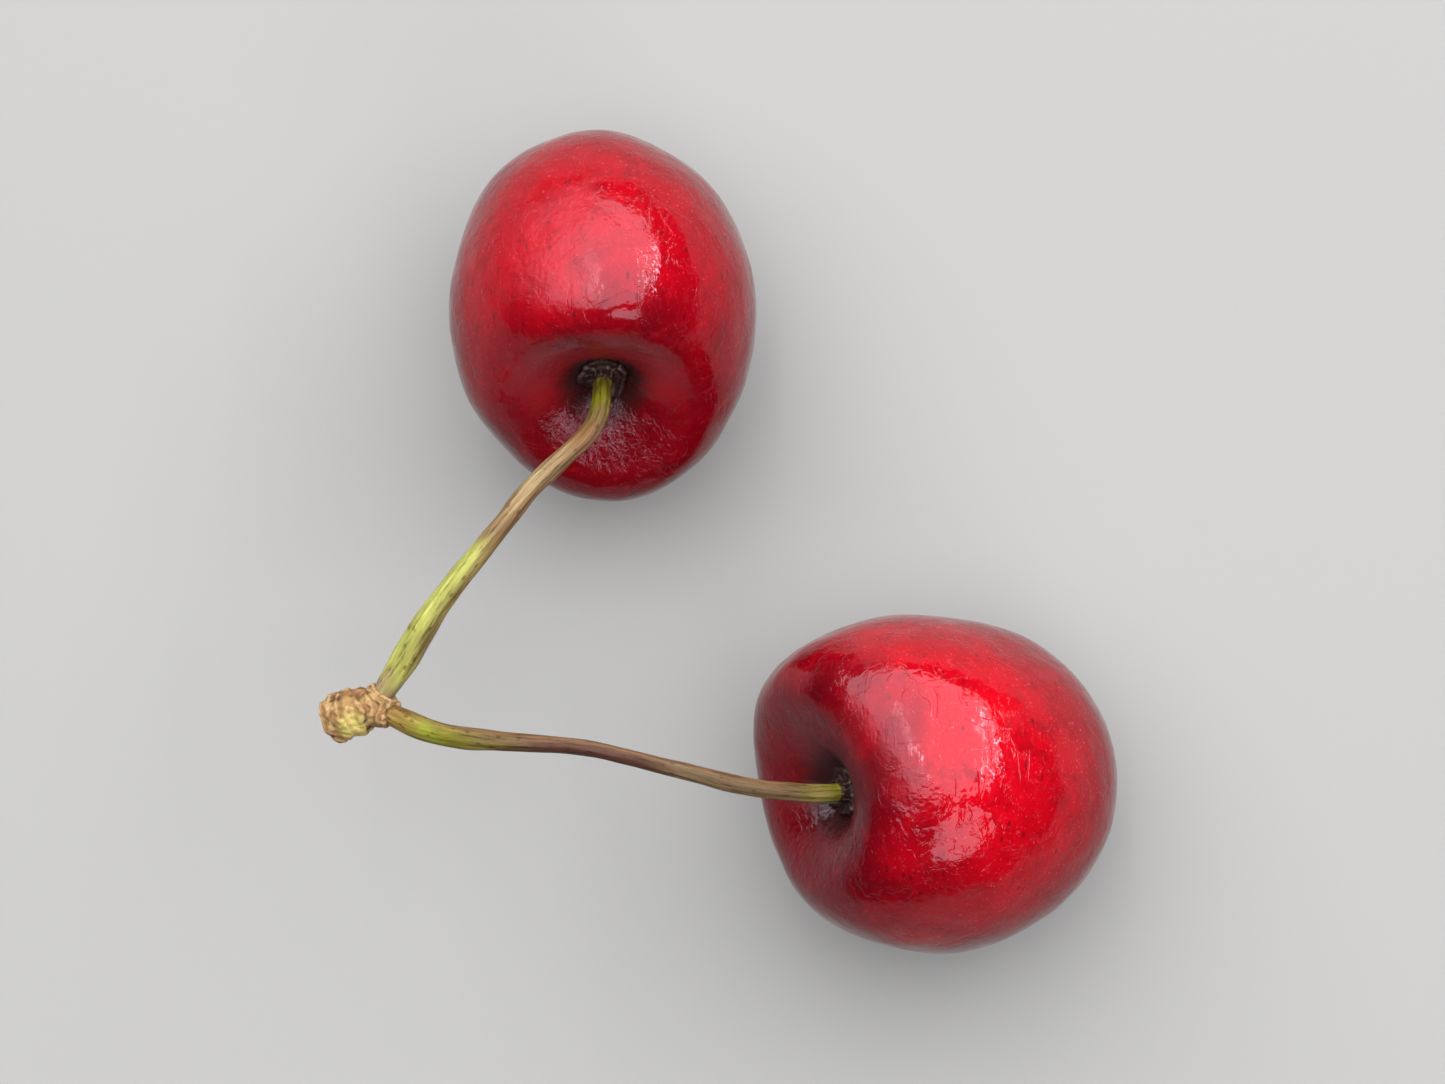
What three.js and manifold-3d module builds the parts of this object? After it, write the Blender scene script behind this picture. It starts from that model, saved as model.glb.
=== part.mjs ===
// Two sweet cherries on their stalks, still joined at the woody spur they were picked with.
// They lie on a surface at z = 0, each on a small flat spot. Millimetres, +Z up.
import * as THREE from "three";
import { mergeVertices } from "three/addons/utils/BufferGeometryUtils.js";
import Module from "manifold-3d";

const wasm = await Module();
wasm.setup();

// ---- Driving dimensions ----

// Each cherry's shape: its size across the cheeks and across the back, and above and below its waist;
// how much it narrows towards the blossom end, and how far that end is set towards its back; how much
// higher one shoulder stands; how deep the stalk sits, as a share of the hollow and throat below; how wide
// the hollow is; and where its seam runs and its gentle lobes start. Then where and how it lies: heading and
// elevation are where its stalk end points, and roll turns it about that line. Angles are in degrees.
const cherries = {
  left: {
    width: 24.8, thickness: 20.8, crown: 12.1, base: 11, taper: 0.095, tipAside: -0.6, lean: 0,
    cavity: 1, funnel: 6.3, seamAt: 60, lobesFrom: 28,
    x: -7.7, y: 16.3, heading: -88, elevation: 41, roll: 0,
  },
  right: {
    width: 23, thickness: 23, crown: 12, base: 12.1, taper: 0.07, tipAside: 0, lean: 0.2,
    cavity: 0.93, funnel: 5.3, seamAt: 300, lobesFrom: 130,
    x: 15.1, y: -16.5, heading: 187, elevation: 34, roll: 90,
  },
};
const fullness = 0.03; // fills a cherry out past an ellipsoid, halfway up its flanks
const shoulderLift = 1.1; // how far the shoulders rise on the cheeks, beside the hollow
const hollowDepth = 4.1; // the broad funnel round the stalk
const throat = { depth: 1.9, radius: 1.9 }; // the narrow pit that the stalk sits in
const tip = { depth: 0.45, radius: 1.5 }; // the dimple at the blossom end
const seam = { depth: 0.022, width: 0.17 }; // groove depth as a share of the radius, width in radians
const lobes = { count: 3, depth: 0.012 }; // the unevenness of a grown fruit, as a share of the radius
const restDepth = 0.3; // how much of the lowest flesh is pressed flat

// The stalks: radius at shares of the length, from the cherry to the spur.
const stalkRadii = {
  left: [[0.1, 0.62], [0.3, 0.64], [0.6, 0.7], [0.84, 0.92], [0.95, 0.86], [1, 0.7]],
  right: [[0.1, 0.62], [0.3, 0.58], [0.62, 0.54], [0.86, 0.78], [0.95, 0.8], [1, 0.68]],
};
// Where each stalk goes between its cherry and the spur.
const stalkRoutes = {
  left: [[-7.95, 7.15, 19.2], [-11.8, 2.9, 21.4], [-15.4, -1.5, 21.4], [-18.7, -5.6, 20], [-21.2, -9.3, 18]],
  right: [[3.4, -17.2, 19], [-2.4, -15.9, 21], [-8.3, -14.5, 21], [-14.6, -14, 20], [-19.2, -13.2, 18.3]],
};
// The collar at the cherry end of a stalk: its raised rim, which is rounded outside and slopes inwards; the
// dish inside it; the flare that carries the stalk out of the dish; and the straight stretch above.
const foot = {
  radius: 1.65, rim: 0.3, rimWidth: 0.4, rimRound: 0.1, rimSlope: 0.05,
  dish: 0.35, neck: 0.85, flare: 0.08, straight: 1.6,
};
const gap = 0.3; // between pieces that touch

// The spur: the fork where the stalks meet, the broken end, and the necks that carry the stalks.
const fork = new THREE.Vector3(-22.9, -11.6, 16.8);
const brokenEnd = new THREE.Vector3(-26.15, -12.4, 15.9);
const neckLength = 1.4;
const spurRadii = { broken: 1.1, body: 1.45, fork: 1.15, neckMiddle: 1.02, neck: 0.88 };
const ringRise = 0.2; // how far each scale scar stands out
// The dry scales on its body: their size, how far out of the body's radius they are seated and how they tip,
// each with the most that chance adds; and the share of the body where the first and the last one sit.
const scales = {
  count: 8, across: 1, along: 0.7, thick: 0.34, least: 0.85, growth: 0.35, seat: 0.86,
  tip: 0.3, tipChance: 0.25, turnChance: 0.4, first: 0.2, last: 0.85,
};

// ---- Shared steps ----

const radians = THREE.MathUtils.degToRad;
const vector = (p) => new THREE.Vector3(...p);

/** A closed geometry as a manifold solid. */
function solidOf(geometry) {
  const bare = new THREE.BufferGeometry().setAttribute("position", geometry.getAttribute("position"));
  if (geometry.index) bare.setIndex(geometry.index);
  const merged = mergeVertices(bare, 1e-3);
  return new wasm.Manifold(
    new wasm.Mesh({
      numProp: 3,
      vertProperties: new Float32Array(merged.attributes.position.array),
      triVerts: new Uint32Array(merged.index.array),
    }),
  );
}

/** A manifold solid as a geometry. */
function geometryOf(solid) {
  const mesh = solid.getMesh();
  return new THREE.BufferGeometry()
    .setAttribute("position", new THREE.BufferAttribute(mesh.vertProperties, 3))
    .setIndex(new THREE.BufferAttribute(mesh.triVerts, 1));
}

/** A named mesh with its own plain material. */
function piece(name, geometry, color, roughness) {
  geometry.computeVertexNormals();
  const mesh = new THREE.Mesh(geometry, new THREE.MeshStandardMaterial({ color, roughness, metalness: 0 }));
  mesh.name = name;
  return mesh;
}

/** A small repeatable random draw between 0 and 1. */
function seeded(seed) {
  let state = seed;
  return () => {
    state = (state * 16807) % 2147483647;
    return state / 2147483647;
  };
}

/** A round bump or dip of height 1 and the given radius. */
const bell = (distance, radius) => Math.exp(-((distance / radius) ** 2));

// ---- Cherries ----

const fruitRings = 36;
const fruitSides = 44;
const shoulderPeak = 1 / (0.4 * 0.6 ** 1.5); // makes the greatest lift of the shoulder formula 1

/** A point of a cherry's skin. Local +Z is its stalk end and +X a cheek; polar is 0 at the stalk. */
function skinPoint(cherry, polar, azimuth) {
  const full = 1 + fullness * Math.sin(2 * polar) ** 2;
  const across = Math.sin(polar) * full;
  const along = Math.cos(polar) * full;
  const fromSeam = 2 * Math.sin((azimuth - radians(cherry.seamAt)) / 2);
  const groove = seam.depth * bell(fromSeam, seam.width);
  const lobe = lobes.depth * Math.sin(lobes.count * (azimuth - radians(cherry.lobesFrom)) + 2 * polar);
  const swell = 1 + cherry.taper * along + (lobe - groove) * across;
  const x = (cherry.width / 2) * across * swell * Math.cos(azimuth);
  const y = (cherry.thickness / 2) * across * swell * Math.sin(azimuth);
  const aside = (cherry.tipAside * (1 - Math.cos(polar)) ** 2) / 4;
  const slant = (cherry.lean * across * x * (1 + along)) / 2;
  const height = ((cherry.crown + cherry.base) * along + (cherry.crown - cherry.base) * along ** 2) / 2;
  const reach = Math.hypot(x, y);
  if (along < 0) {
    return new THREE.Vector3(x, y + aside, height - slant + tip.depth * bell(reach, tip.radius));
  }
  const shoulder = shoulderLift * shoulderPeak * across ** 2 * along ** 3 * Math.cos(azimuth) ** 2;
  const dip = hollowDepth * bell(reach, cherry.funnel) + throat.depth * bell(reach, throat.radius);
  return new THREE.Vector3(x, y + aside, height - slant + shoulder - cherry.cavity * dip * along ** 2);
}

/** How high the throat is at a distance out from a cherry's axis. */
function throatHeight(cherry, reach) {
  const { z } = skinPoint(cherry, Math.asin(reach / (cherry.thickness / 2)), Math.PI / 2);
  return z;
}

/** A cherry, turned as it lies and pressed flat where it rests. */
function cherryMesh(name, cherry, color) {
  const geometry = new THREE.SphereGeometry(1, fruitSides, fruitRings);
  const { position, uv } = geometry.attributes;
  for (let i = 0; i < position.count; i++) {
    const polar = Math.PI * (1 - uv.getY(i)) ** 1.25; // closer rings round the stalk
    const point = skinPoint(cherry, polar, 2 * Math.PI * uv.getX(i));
    position.setXYZ(i, point.x, point.y, point.z);
  }
  geometry.rotateZ(radians(cherry.roll));
  const mesh = piece(name, geometry, color, 0.25);
  mesh.rotation.set(0, radians(90 - cherry.elevation), radians(cherry.heading), "ZYX");
  mesh.updateMatrix();
  const lowest = new THREE.Box3().setFromBufferAttribute(position.clone().applyMatrix4(mesh.matrix)).min.z;
  mesh.position.set(cherry.x, cherry.y, -lowest - restDepth);
  mesh.updateMatrix();
  const below = new THREE.BoxGeometry(40, 40, 40).translate(cherry.x, cherry.y, -20);
  below.applyMatrix4(mesh.matrix.clone().invert());
  mesh.geometry = geometryOf(solidOf(geometry).subtract(solidOf(below)));
  mesh.geometry.computeVertexNormals();
  return mesh;
}

// ---- Stalks ----

const stalkSides = 12;
const stalkStep = 0.9; // between rings along the shaft
const frameCount = 400;

/** The outline of a stalk as radius and distance along it: underside, rim, dish, shaft and cut end. */
function stalkProfile(cherry, radii, length) {
  const under = (reach) => throatHeight(cherry, reach + gap) - throatHeight(cherry, gap);
  const rimTop = under(foot.radius) + foot.rim;
  const outline = [[0, 0]];
  for (const share of [0.3, 0.55, 0.8, 1]) {
    outline.push([foot.radius * share, under(foot.radius * share)]);
  }
  outline.push([foot.radius - foot.rimRound, rimTop]);
  outline.push([foot.radius - foot.rimWidth, rimTop - foot.rimSlope]);
  outline.push([foot.neck, rimTop - foot.dish], [radii[0][1] + foot.flare, rimTop + foot.rim]);
  const widths = radii.map(([share, radius]) => new THREE.Vector3(radius, share * length));
  const shaft = new THREE.CatmullRomCurve3(widths);
  const steps = Math.round(length / stalkStep);
  for (const { x, y } of shaft.getPoints(steps)) outline.push([x, y]);
  outline.push([0, length]);
  return outline.map(([x, y]) => new THREE.Vector2(x, y));
}

/** A straight lathe about Y, bent so that its Y runs along a route. */
function bendAlong(geometry, route, length) {
  const frames = route.computeFrenetFrames(frameCount, false);
  const { position } = geometry.attributes;
  for (let i = 0; i < position.count; i++) {
    const share = THREE.MathUtils.clamp(position.getY(i) / length, 0, 1);
    const k = Math.round(share * frameCount);
    const point = route
      .getPointAt(share)
      .addScaledVector(frames.normals[k], position.getX(i))
      .addScaledVector(frames.binormals[k], -position.getZ(i));
    position.setXYZ(i, point.x, point.y, point.z);
  }
  return geometry;
}

/** The stalk of one cherry, from its seat in the throat to the end of its neck on the spur. */
function stalkMesh(name, side, cherryPiece, neckEnd, color) {
  const cherry = cherries[side];
  const seatHeight = throatHeight(cherry, 0) + gap;
  const start = [seatHeight, seatHeight + foot.straight].map((height) =>
    new THREE.Vector3(0, 0, height).applyMatrix4(cherryPiece.matrix),
  );
  const route = new THREE.CatmullRomCurve3([...start, ...stalkRoutes[side].map(vector), neckEnd]);
  const length = route.getLength();
  const lathe = new THREE.LatheGeometry(stalkProfile(cherry, stalkRadii[side], length), stalkSides);
  return piece(name, bendAlong(lathe, route, length), color, 0.6);
}

// ---- Spur ----

/** A tapering woody length from one point to another, ringed with the scars of shed scales. */
function ringedBranch(from, to, fromRadius, middleRadius, toRadius, rings) {
  const length = from.distanceTo(to);
  const stepsPerRing = 4;
  const steps = rings * stepsPerRing;
  const outline = [new THREE.Vector2(0, 0)];
  for (let i = 0; i <= steps; i++) {
    const share = i / steps;
    const belly = middleRadius - (fromRadius + toRadius) / 2;
    const smooth = THREE.MathUtils.lerp(fromRadius, toRadius, share) + belly * Math.sin(Math.PI * share);
    const ring = ringRise * (1 - (i % stepsPerRing) / stepsPerRing);
    outline.push(new THREE.Vector2(smooth + ring, share * length));
  }
  outline.push(new THREE.Vector2(0, length));
  const geometry = new THREE.LatheGeometry(outline, 16);
  const turn = new THREE.Quaternion().setFromUnitVectors(
    new THREE.Vector3(0, 1, 0),
    to.clone().sub(from).normalize(),
  );
  return solidOf(geometry.applyQuaternion(turn).translate(from.x, from.y, from.z));
}

/** The dry scales that clasp the spur's body, set round it by the golden angle and tipped outwards. */
function budScales() {
  const draw = seeded(7);
  const axis = brokenEnd.clone().sub(fork);
  const up = new THREE.Vector3(0, 0, 1);
  const toBody = new THREE.Quaternion().setFromUnitVectors(up, axis.clone().normalize());
  const goldenAngle = Math.PI * (3 - Math.sqrt(5));
  const solids = [];
  for (let i = 0; i < scales.count; i++) {
    const share = THREE.MathUtils.lerp(scales.first, scales.last, i / (scales.count - 1));
    const size = scales.least + scales.growth * draw();
    const scale = new THREE.SphereGeometry(1, 10, 7)
      .scale(scales.thick, scales.across * size, scales.along * size)
      .rotateY(-scales.tip - scales.tipChance * draw())
      .translate(spurRadii.body * scales.seat, 0, 0)
      .rotateZ(i * goldenAngle + scales.turnChance * draw())
      .applyQuaternion(toBody);
    const root = fork.clone().addScaledVector(axis, share);
    solids.push(solidOf(scale.translate(root.x, root.y, root.z)));
  }
  return solids;
}

/** Where a neck ends, in the direction that its stalk leaves in. */
function neckEndOf(side) {
  const towards = vector(stalkRoutes[side].at(-1)).sub(fork).normalize();
  return fork.clone().addScaledVector(towards, neckLength);
}

/** The whole spur as one solid: body, two necks and scales. */
function spurMesh(name, color) {
  let spur = ringedBranch(fork, brokenEnd, spurRadii.fork, spurRadii.body, spurRadii.broken, 5);
  for (const side of ["left", "right"]) {
    const end = neckEndOf(side);
    spur = spur.add(ringedBranch(fork, end, spurRadii.fork, spurRadii.neckMiddle, spurRadii.neck, 3));
  }
  for (const scale of budScales()) spur = spur.add(scale);
  return piece(name, geometryOf(spur), color, 0.85);
}

// ---- The pair ----

const pair = new THREE.Group();
const spur = spurMesh("spur", "#b58a5a");
const skins = { left: "#8e1020", right: "#a00d1c" };
const barks = { left: "#a9a255", right: "#8d8a45" };
for (const side of ["left", "right"]) {
  const cherry = cherryMesh(`${side}_cherry`, cherries[side], skins[side]);
  const towards = vector(stalkRoutes[side].at(-1)).sub(fork).normalize();
  const stalkEnd = neckEndOf(side).addScaledVector(towards, gap);
  pair.add(cherry, stalkMesh(`${side}_stalk`, side, cherry, stalkEnd, barks[side]));
}
pair.add(spur);

// The origin lies under the middle of the pair's outline seen from above.
const middle = new THREE.Box3().setFromObject(pair, true).getCenter(new THREE.Vector3());
pair.position.set(-middle.x, -middle.y, 0);

export default pair;
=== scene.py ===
# Two sweet cherries on their stalks, still joined at the woody spur: the finished surfaces round the frame.
# Lengths are millimetres, in the layout that the solids are drawn in. to_frame() turns them into metres in
# the frame, which has its origin under the middle of the pair.
import math

import bpy
import numpy as np
from mathutils import Euler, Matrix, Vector


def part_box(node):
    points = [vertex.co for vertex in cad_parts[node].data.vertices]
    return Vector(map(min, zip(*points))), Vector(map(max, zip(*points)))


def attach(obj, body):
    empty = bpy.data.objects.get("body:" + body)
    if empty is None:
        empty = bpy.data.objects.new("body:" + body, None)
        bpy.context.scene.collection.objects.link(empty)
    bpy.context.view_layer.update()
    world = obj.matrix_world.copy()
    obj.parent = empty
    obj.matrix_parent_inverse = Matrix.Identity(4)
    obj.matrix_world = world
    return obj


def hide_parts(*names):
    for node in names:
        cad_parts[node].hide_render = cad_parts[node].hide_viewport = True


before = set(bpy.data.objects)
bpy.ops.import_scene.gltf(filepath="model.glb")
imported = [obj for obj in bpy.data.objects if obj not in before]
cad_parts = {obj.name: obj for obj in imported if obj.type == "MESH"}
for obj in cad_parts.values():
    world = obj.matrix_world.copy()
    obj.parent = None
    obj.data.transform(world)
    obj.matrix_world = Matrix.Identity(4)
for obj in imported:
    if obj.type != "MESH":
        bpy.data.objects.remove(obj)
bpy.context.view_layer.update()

MM = 0.001
TURN = 2 * math.pi

# ---- Driving dimensions, the same as the solids' ----

# Each cherry's shape: its size across the cheeks and across the back, and above and below its waist; how
# much it narrows towards the blossom end, and how far that end is set towards its back; how much higher one
# shoulder stands; how deep the stalk sits, as a share of the hollow and throat below; how wide the hollow
# is; and where its seam runs and its gentle lobes start. Then where and how it lies: heading and elevation
# are where its stalk end points, and roll turns it about that line. Angles are in degrees.
CHERRIES = dict(
    left=dict(
        width=24.8, thickness=20.8, crown=12.1, base=11, taper=0.095, tip_aside=-0.6, lean=0,
        cavity=1, funnel=6.3, seam_at=60, lobes_from=28,
        at=(-7.7, 16.3), heading=-88, elevation=41, roll=0,
    ),
    right=dict(
        width=23, thickness=23, crown=12, base=12.1, taper=0.07, tip_aside=0, lean=0.2,
        cavity=0.93, funnel=5.3, seam_at=300, lobes_from=130,
        at=(15.1, -16.5), heading=187, elevation=34, roll=90,
    ),
)
FULLNESS = 0.03  # fills a cherry out past an ellipsoid, halfway up its flanks
SHOULDER_LIFT = 1.1  # how far the shoulders rise on the cheeks, beside the hollow
HOLLOW_DEPTH = 4.1  # the broad funnel round the stalk
THROAT = dict(depth=1.9, radius=1.9)  # the narrow pit that the stalk sits in
TIP = dict(depth=0.45, radius=1.5)  # the dimple at the blossom end
SEAM = dict(depth=0.022, width=0.17)  # groove depth as a share of the radius, width in radians
LOBES = dict(count=3, depth=0.012)  # the unevenness of a grown fruit, as a share of the radius
REST_DEPTH = 0.3  # how much of the lowest flesh is pressed flat

# The stalks: radius at shares of the length, and where each goes, both from the cherry to the spur.
STALK_RADII = dict(
    left=[(0.1, 0.62), (0.3, 0.64), (0.6, 0.7), (0.84, 0.92), (0.95, 0.86), (1, 0.7)],
    right=[(0.1, 0.62), (0.3, 0.58), (0.62, 0.54), (0.86, 0.78), (0.95, 0.8), (1, 0.68)],
)
STALK_ROUTES = dict(
    left=[
        (-7.95, 7.15, 19.2), (-11.8, 2.9, 21.4), (-15.4, -1.5, 21.4), (-18.7, -5.6, 20), (-21.2, -9.3, 18),
    ],
    right=[
        (3.4, -17.2, 19), (-2.4, -15.9, 21), (-8.3, -14.5, 21), (-14.6, -14, 20), (-19.2, -13.2, 18.3),
    ],
)
# The collar at the cherry end of a stalk: its radius and raised rim, the dish inside the rim, the neck that
# rises from the dish, and the straight stretch of stalk above.
FOOT = dict(radius=1.65, rim=0.3, dish=0.35, neck=0.85, straight=1.6)

# The spur: the fork where the stalks meet, the broken end, and the necks that carry the stalks.
FORK = np.array([-22.9, -11.6, 16.8])
BROKEN_END = np.array([-26.15, -12.4, 15.9])
NECK_LENGTH = 1.4
SPUR_RADII = dict(broken=1.1, body=1.45, fork=1.15, neck_middle=1.02, neck=0.88)
RINGS = dict(body=5, neck=3, rise=0.2)  # scale scars on the body and on a neck, and how far each stands out
# The dry scales on its body: their size, of which each has at least a share and by chance more; how far out
# they sit, as a share of the body's radius; how far they tip, and what chance adds to that and to their
# place round the body; where along the body the first and the last one sit; and the seed of the chance.
SCALES = dict(
    count=8, across=1, along=0.7, thick=0.34, least=0.85, growth=0.35, seat=0.86,
    tip=0.3, tip_chance=0.25, turn_chance=0.4, first=0.2, last=0.85, seed=7,
)

# ---- Fine relief, which the solids leave out ----

# Each kind of relief has the height of its bumps and how far apart they are. On a stalk the height is a
# share of the radius, and closer is how much closer than that the bumps stand: twice across the stalk, and
# then along it.
SKIN_DENTS = dict(height=0.05, apart=8)
SKIN_WAVES = dict(height=0.008, apart=2.6)  # these bend a reflection
STALK_LINES = dict(height=0.045, apart=1.1, closer=(1.6, 1.6, 0.12))
STALK_KNOBS = dict(height=0.03, apart=2.4, closer=(1, 1, 0.9))
COLLAR_CRINKLES = dict(height=0.07, apart=0.9, closer=(1.8, 1.8, 0.6))
CRINKLE_LIFT = 2  # how far along the stalk a crinkle as high as the radius would move the rim
BARK_LUMPS = dict(height=0.05, apart=1.3)
BARK_PITS = dict(height=0.022, apart=0.5)

PRESSED_EDGE = 0.06  # how softly a flat spot meets the round flank
SINK = 0.15  # how deep a stalk's foot and end go into what holds them

# The collar's section: its underside, which follows the throat that it sits in; points of its rim, as the
# height over the rim's top and the distance in from its edge; and points of its dish, as the height over
# the dish's floor and the distance out from the neck.
UNDERSIDE = dict(from_radius=0.2, points=9)
RIM_SECTION = [(-0.08, 0.02), (0, 0.12), (-0.02, 0.3), (-0.15, 0.4)]
DISH_SECTION = [(0, 0.1), (0.08, -0.08)]
SHAFT_FLARE = 0.05  # how much wider than the shaft the collar ends
COLLAR_FADE = (-0.1, 0.5)  # where a stalk turns from collar to shaft, from the end of the collar
CRINKLES_FROM = 0.9  # the radius at which a collar starts to be crinkled

# ---- Fineness of the finished meshes ----

SKIN_RINGS = 240
SKIN_SIDES = 360
CLOSER_AT_STALK = 1.15  # more than 1 sets the rings of a skin closer at its stalk end
STALK_SIDES = 48
STALK_STEP = 0.16
COLLAR_STEPS = 5  # from one point of the collar's section to the next
ROUTE_STEPS = 60  # from one point of a stalk's route or of its radii to the next
SPUR_VOXEL = 0.07
RING_STEPS = 8  # from one scale scar of the spur to the next
BRANCH_SIDES = 32
SCALE_SIDES = 24
SCALE_RINGS = 17
CREASE_ROUNDS = 12  # how often the spur is smoothed to see where it is creased


# ---- Shared shapes ----


def bell(distance, radius):
    """A round bump of height 1 and the given radius."""
    return np.exp(-((distance / radius) ** 2))


def smooth(value, low, high):
    """0 below low, 1 above high, and a smooth rise between them."""
    share = np.clip((value - low) / (high - low), 0, 1)
    return share * share * (3 - 2 * share)


def ripples(points, apart, seed):
    """A smooth uneven field of about unit height, whose bumps are about this far apart."""
    waves = 36
    shortest, longest = 0.7, 1.5
    draw = np.random.default_rng(seed)
    directions = draw.normal(size=(waves, 3))
    directions /= np.linalg.norm(directions, axis=1, keepdims=True)
    lengths = apart * draw.uniform(shortest, longest, waves)
    phases = draw.uniform(0, TURN, waves)
    heights = np.sin(TURN * (points @ directions.T) / lengths + phases)
    return heights.sum(axis=-1) / math.sqrt(waves / 2)


def relief(points, kind, seed):
    """The height that one of the kinds of fine relief has at each point."""
    return kind["height"] * ripples(points * kind.get("closer", (1, 1, 1)), kind["apart"], seed)


def catmull_rom(points, steps):
    """The smooth centripetal curve through the given points, in so many steps from each to the next."""
    points = np.asarray(points, float)
    padded = [2 * points[0] - points[1], *points, 2 * points[-1] - points[-2]]
    made = []
    for before, start, end, after in zip(padded, padded[1:], padded[2:], padded[3:]):
        gaps = [math.sqrt(np.linalg.norm(b - a)) for a, b in ((before, start), (start, end), (end, after))]
        leave = (start - before) / gaps[0] - (end - before) / (gaps[0] + gaps[1]) + (end - start) / gaps[1]
        arrive = (end - start) / gaps[1] - (after - start) / (gaps[1] + gaps[2]) + (after - end) / gaps[2]
        leave, arrive = leave * gaps[1], arrive * gaps[1]
        for t in np.arange(steps) / steps:
            made.append(
                start + leave * t + (3 * (end - start) - 2 * leave - arrive) * t**2
                + (2 * (start - end) + leave + arrive) * t**3
            )
    made.append(points[-1])
    return np.array(made)


def lengths_along(points):
    """How far along the line each of its points is."""
    return np.concatenate([[0], np.cumsum(np.linalg.norm(np.diff(points, axis=0), axis=1))])


def turn_from_z(direction):
    """The smallest turn that takes +Z to a direction, as a matrix."""
    return np.array(Vector((0, 0, 1)).rotation_difference(Vector(direction)).to_matrix())


def closed_grid(rings, start, end):
    """Vertices and faces of rings of points, closed by one point at each end."""
    count, sides, _ = rings.shape
    vertices = np.concatenate([rings.reshape(-1, 3), [start, end]])
    index = np.arange(count * sides).reshape(count, sides)
    beside = np.roll(index, -1, axis=1)
    quads = np.stack([index[:-1], beside[:-1], beside[1:], index[1:]], axis=-1).reshape(-1, 4)
    first, last = count * sides, count * sides + 1
    caps = [(first, b, a) for a, b in zip(index[0], beside[0])]
    caps += [(last, a, b) for a, b in zip(index[-1], beside[-1])]
    return vertices, quads.tolist() + caps


# ---- Cherries ----

SHOULDER_PEAK = 1 / (0.4 * 0.6**1.5)  # makes the greatest lift of the shoulder formula 1


def skin_points(cherry, polar, azimuth):
    """Points of a cherry's skin. Local +Z is its stalk end and +X a cheek; polar is 0 at the stalk."""
    full = 1 + FULLNESS * np.sin(2 * polar) ** 2
    across = np.sin(polar) * full
    along = np.cos(polar) * full
    from_seam = 2 * np.sin((azimuth - math.radians(cherry["seam_at"])) / 2)
    groove = SEAM["depth"] * bell(from_seam, SEAM["width"])
    from_lobe = azimuth - math.radians(cherry["lobes_from"])
    lobe = LOBES["depth"] * np.sin(LOBES["count"] * from_lobe + 2 * polar)
    swell = 1 + cherry["taper"] * along + (lobe - groove) * across
    x = cherry["width"] / 2 * across * swell * np.cos(azimuth)
    y = cherry["thickness"] / 2 * across * swell * np.sin(azimuth)
    aside = cherry["tip_aside"] * (1 - np.cos(polar)) ** 2 / 4
    slant = cherry["lean"] * across * x * (1 + along) / 2
    crown, base = cherry["crown"], cherry["base"]
    height = ((crown + base) * along + (crown - base) * along**2) / 2
    reach = np.hypot(x, y)
    rise = np.maximum(along, 0)
    shoulder = SHOULDER_LIFT * SHOULDER_PEAK * across**2 * rise**3 * np.cos(azimuth) ** 2
    dip = HOLLOW_DEPTH * bell(reach, cherry["funnel"]) + THROAT["depth"] * bell(reach, THROAT["radius"])
    dip = dip * cherry["cavity"]
    dimple = np.where(along < 0, TIP["depth"] * bell(reach, TIP["radius"]), 0)
    return np.stack([x, y + aside, height - slant + shoulder - dip * rise**2 + dimple], axis=-1)


def throat_height(cherry, reach):
    """How high the throat is at a distance out from a cherry's axis."""
    return float(skin_points(cherry, np.arcsin(reach / (cherry["thickness"] / 2)), math.pi / 2)[2])


def cherry_turn(cherry):
    """The matrix that lays a cherry down as it rests."""
    roll = Euler((0, 0, math.radians(cherry["roll"]))).to_matrix()
    lie = Euler((0, math.radians(90 - cherry["elevation"]), math.radians(cherry["heading"]))).to_matrix()
    return np.array(lie @ roll)


def make_cherry(side, seed):
    """A cherry's fine mesh, with each point's place on the fruit, and where the fruit's own origin lies."""
    cherry = CHERRIES[side]
    polar = math.pi * (np.arange(1, SKIN_RINGS) / SKIN_RINGS) ** CLOSER_AT_STALK
    azimuth = TURN * np.arange(SKIN_SIDES) / SKIN_SIDES
    polar, azimuth = np.meshgrid(polar, azimuth, indexing="ij")
    top, bottom = (skin_points(cherry, np.float64(end), np.float64(0)) for end in (0, math.pi))
    local, faces = closed_grid(skin_points(cherry, polar, azimuth), top, bottom)

    outwards = local / np.linalg.norm(local, axis=1, keepdims=True)
    uneven = relief(local, SKIN_DENTS, seed) + relief(local, SKIN_WAVES, seed + 1)
    turned = (local + outwards * uneven[:, None]) @ cherry_turn(cherry).T
    origin = np.array([*cherry["at"], -turned[:, 2].min() - REST_DEPTH])
    placed = turned + origin
    height = placed[:, 2]
    placed[:, 2] = (height + np.sqrt(height**2 + PRESSED_EDGE**2)) / 2

    meridian = np.stack([np.cos(azimuth), np.sin(azimuth), polar / math.pi], axis=-1).reshape(-1, 3)
    meridian = np.concatenate([meridian, [(1, 0, 0), (1, 0, 1)]])
    return (placed, faces, dict(place=local, meridian=meridian, lying=placed)), origin


# ---- Stalks ----


def neck_direction(side):
    """Which way a neck of the spur points, towards its stalk."""
    towards = np.array(STALK_ROUTES[side][-1]) - FORK
    return towards / np.linalg.norm(towards)


def stalk_route(side, origin):
    """The middle line of a stalk, from just inside its cherry to just inside its neck of the spur."""
    cherry = CHERRIES[side]
    seat = throat_height(cherry, 0)
    turn = cherry_turn(cherry)
    start = [turn @ (0, 0, height) + origin for height in (seat - SINK, seat + FOOT["straight"])]
    end = FORK + neck_direction(side) * (NECK_LENGTH - SINK)
    return catmull_rom([*start, *STALK_ROUTES[side], end], ROUTE_STEPS)


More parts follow.
